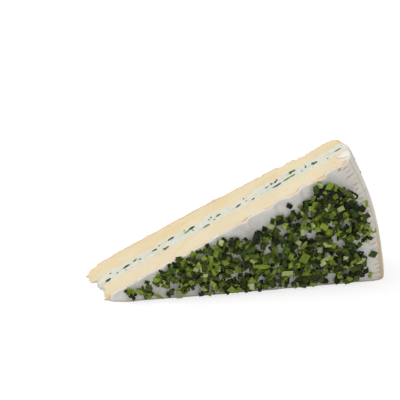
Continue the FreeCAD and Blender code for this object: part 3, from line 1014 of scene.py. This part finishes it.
def lay_slivers(layer, slivers, material):
    """Lays the slivers on the upper cut face, and strews other bits on the three open sides."""
    rng = np.random.default_rng(17)
    uniform, normal = rng.uniform, rng.normal
    bits = Bits()
    across, forward, down = np.array([0.0, 1.0, 0.0]), np.array([1.0, 0, 0]), np.array([0, 0, -1.0])

    def add(place, lengthways, sideways, outwards, length, width, slant, tint, rise=0.1):
        bend = rng.choice([-1, 1]) * uniform(0.15, 0.4)
        fold = uniform(0.1, 0.5)
        points, faces, inner, rib = strip(rng, length, 1.25 * width, fold, 0.1, 0.8, rows=7, hook=bend)
        points = turned(points, slant, 0.0, normal(0, 0.25))
        origin = layer.nearest(place)[0] + rise * outwards
        placed = origin + points[:, :1] * lengthways + points[:, 1:2] * sideways + points[:, 2:] * outwards
        placed[:, 2] = np.maximum(placed[:, 2], 0)
        bits.add(placed, faces, tint, inner, rib)

    def width_place():
        return uniform(FILLING_LOW[1] + 1, FILLING_HIGH[1] - 1)

    for along, y, length, width, slant, tint in slivers:
        place = TIP + along * ALONG_UP + y * across
        add(place, ALONG_UP, across, UPPER_NORMAL, length, width, slant, tint)
    for _ in range(UPPER_BITS):
        place = TIP + uniform(6, 118) * ALONG_UP + width_place() * across
        add(place, ALONG_UP, across, UPPER_NORMAL,
            uniform(0.5, 1.2), uniform(0.3, 0.5), normal(0, 0.5), uniform(0, 0.5))
    for _ in range(LOWER_BITS):
        place = TIP + np.array([uniform(8, 118), width_place(), 0.1])
        add(place, forward, -across, down,
            uniform(0.8, 3.2), uniform(0.5, 0.9), normal(0, 0.3), uniform(0, 0.9))
    wheel_centre = TIP - np.array([0, 0, WHEEL_CENTRE_BELOW_TIP])
    for step in range(RIM_BITS):
        turn = SLOPE * (step + uniform(0.3, 0.9)) / RIM_BITS
        outward = np.array([math.cos(turn), 0, math.sin(turn)])
        around = np.array([-math.sin(turn), 0, math.cos(turn)])
        place = wheel_centre + outward * (FILLING_RADIUS - 0.2) + uniform(-2.5, 2.5) * across
        add(place, around, -across, outward,
            uniform(0.8, 2.2), uniform(0.5, 0.9), normal(0, 0.4), uniform(0, 0.7), rise=-0.12)
    bits.piece("filling_chives", material, "chives")


# ---------------------------------------------------------------- crumbs

def blob(rng, size):
    """A small irregular crumb."""
    shape = bmesh.new()
    bmesh.ops.create_icosphere(shape, subdivisions=2, radius=1.0)
    points = np.array([v.co for v in shape.verts])
    faces = [tuple(v.index for v in f.verts) for f in shape.faces]
    shape.free()
    points *= 1 + 0.45 * bumps(points + rng.uniform(0, 40, 3), 0.8, 91)[:, None]
    return points * size * rng.uniform(0.5, 1.0, 3), faces


def lay_crumbs(herbed, plain):
    """White crumbs of rind on the torn edges, and crumbs of paste at the tip and on the cut face."""
    rng = np.random.default_rng(27)
    uniform = rng.uniform
    kinds = {"rind_crumbs": Bits(), "paste_crumbs": Bits()}

    def add(name, along, across, size):
        points, faces = blob(rng, size)
        points = turned(points, uniform(0, 6), uniform(0, 6), 0)
        layer = herbed if across < 0 else plain
        spot, normal = layer.nearest(TIP + along * ALONG_UP + np.array([0, across, 0]))
        points = points + spot + 0.1 * size * normal
        points[:, 2] = np.maximum(points[:, 2], 0)
        zeros = np.zeros(len(points))
        kinds[name].add(points, faces, 0.0, zeros, zeros)

    add("rind_crumbs", 61, 17, 0.75)
    add("rind_crumbs", 62, 17.5, 0.45)
    add("rind_crumbs", 55, -18.6, 0.6)
    for step in TORN_STEPS:
        add("rind_crumbs", step + uniform(0.5, 2), -17.6 + 0.03 * (step - 60), uniform(0.35, 0.6))
    for _ in range(14):
        add("rind_crumbs", uniform(25, 112), rng.choice([-17.6, 16.8]) + rng.normal(0, 0.4),
            uniform(0.2, 0.4))
    for across in (-14.6, -12.8, -9.5, 7.8, 10.4):
        add("paste_crumbs", uniform(0.5, 2.5), across, uniform(0.3, 0.5))
    add("paste_crumbs", 0.8, -17.0, 0.8)
    for _ in range(14):
        add("paste_crumbs", uniform(10, 116), uniform(-15, 15), uniform(0.15, 0.3))
    kinds["rind_crumbs"].piece("rind_crumbs", crumb_look("rind_crumb", RIND, RIND_GREY), "brie")
    kinds["paste_crumbs"].piece("paste_crumbs", crumb_look("paste_crumb", PASTE, PASTE_WARM), "brie")


# ---------------------------------------------------------------- putting it together

WHITE = (1, 1, 1, 1)
FLOOR_HALF, FLOOR_DROP = 6, 0.0001                  # metres
# The floor's grey as the cheese sees it, and its grey and glow as the camera sees it.
FLOOR_GREY, FLOOR_SEEN, FLOOR_GLOW = (0.8, 0.8, 0.8, 1), (0.3, 0.3, 0.3, 1), 0.76
DOME = 0.52
SUN, SUN_WIDTH, SUN_FROM = 1.42, 35, (-0.40, 0.10, 0.90)
CAMERA_AZIMUTH, CAMERA_ELEVATION = -11.19, 19.95    # degrees
CAMERA_DISTANCE, CAMERA_TARGET = 0.8, (-0.01508, 0.00447, 0.0330)   # metres
LENS, SENSOR = 175.5, 36


def either_ray(tree, *kinds):
    """1 for a ray of one of two kinds, and 0 for any other."""
    paths, either = add_node(tree, "LightPath"), add_node(tree, "Math", operation="MAXIMUM")
    for kind, socket in zip(kinds, either.inputs):
        tree.links.new(paths.outputs[kind], socket)
    return either.outputs[0]


def turn_back(thing, back):
    """Turns a lamp or a camera so that it looks away from where back points."""
    thing.rotation_mode = "QUATERNION"
    thing.rotation_quaternion = back.to_track_quat("Z", "Y")


def make_stage():
    """A wide pale floor that looks white to the camera and keeps a soft shadow."""
    mesh = bpy.data.meshes.new("floor")
    corners = [(x * FLOOR_HALF, y * FLOOR_HALF, -FLOOR_DROP) for x, y in ((-1, -1), (1, -1), (1, 1), (-1, 1))]
    mesh.from_pydata(corners, [], [(0, 1, 2, 3)])
    floor = add_object("floor", mesh)
    look = Look("floor_white")
    seen = either_ray(look.tree, "Is Camera Ray", "Is Glossy Ray")
    look.put(look.times(seen, FLOOR_GLOW), look.shader.inputs["Emission Strength"])
    base = look.mix(seen, FLOOR_GREY, FLOOR_SEEN)
    mesh.materials.append(look.done(base, Roughness=1.0, Specular_IOR_Level=0.0, Emission_Color=WHITE))


def make_lights():
    """A white dome, dimmer than it looks to the camera, and one soft lamp."""
    world = bpy.data.worlds.new("studio")
    bpy.context.scene.world = world
    world.use_nodes = True
    tree = world.node_tree
    background = tree.nodes["Background"]
    background.inputs["Color"].default_value = WHITE
    strength = add_node(tree, "MapRange")
    tree.links.new(either_ray(tree, "Is Camera Ray", "Is Transmission Ray"), strength.inputs["Value"])
    strength.inputs["To Min"].default_value = DOME
    strength.inputs["To Max"].default_value = 1.0
    tree.links.new(strength.outputs["Result"], background.inputs["Strength"])
    lamp = bpy.data.lights.new("key", "SUN")
    lamp.energy, lamp.angle = SUN, math.radians(SUN_WIDTH)
    turn_back(add_object("key", lamp), Vector(SUN_FROM))


def make_camera():
    """The photograph's view: a long lens, a little to the left and above."""
    azimuth, elevation = math.radians(CAMERA_AZIMUTH), math.radians(CAMERA_ELEVATION)
    level = math.cos(elevation)
    back = Vector((math.sin(azimuth) * level, -math.cos(azimuth) * level, math.sin(elevation)))
    lens = bpy.data.cameras.new("camera")
    lens.lens, lens.sensor_width = LENS, SENSOR
    lens.clip_start, lens.clip_end = 0.01, 50
    camera = add_object("camera", lens)
    camera.location = Vector(CAMERA_TARGET) + back * CAMERA_DISTANCE
    turn_back(camera, back)
    bpy.context.scene.camera = camera


make_camera()
make_lights()
make_stage()
cheese = cheese_look("brie")
herbed_half = make_herbed_half(cheese)
plain_half = make_plain_half(cheese)
slivers = filling_slivers()
filling_layer = make_filling(filling_look("chive_cream"), slivers)
lay_chives(HerbFace(herbed_half), chive_look("chives", *FRESH))
lay_slivers(filling_layer, slivers, chive_look("soaked_chives", *SOAKED))
lay_crumbs(herbed_half, plain_half)

bpy.context.scene.view_settings.view_transform = "Standard"
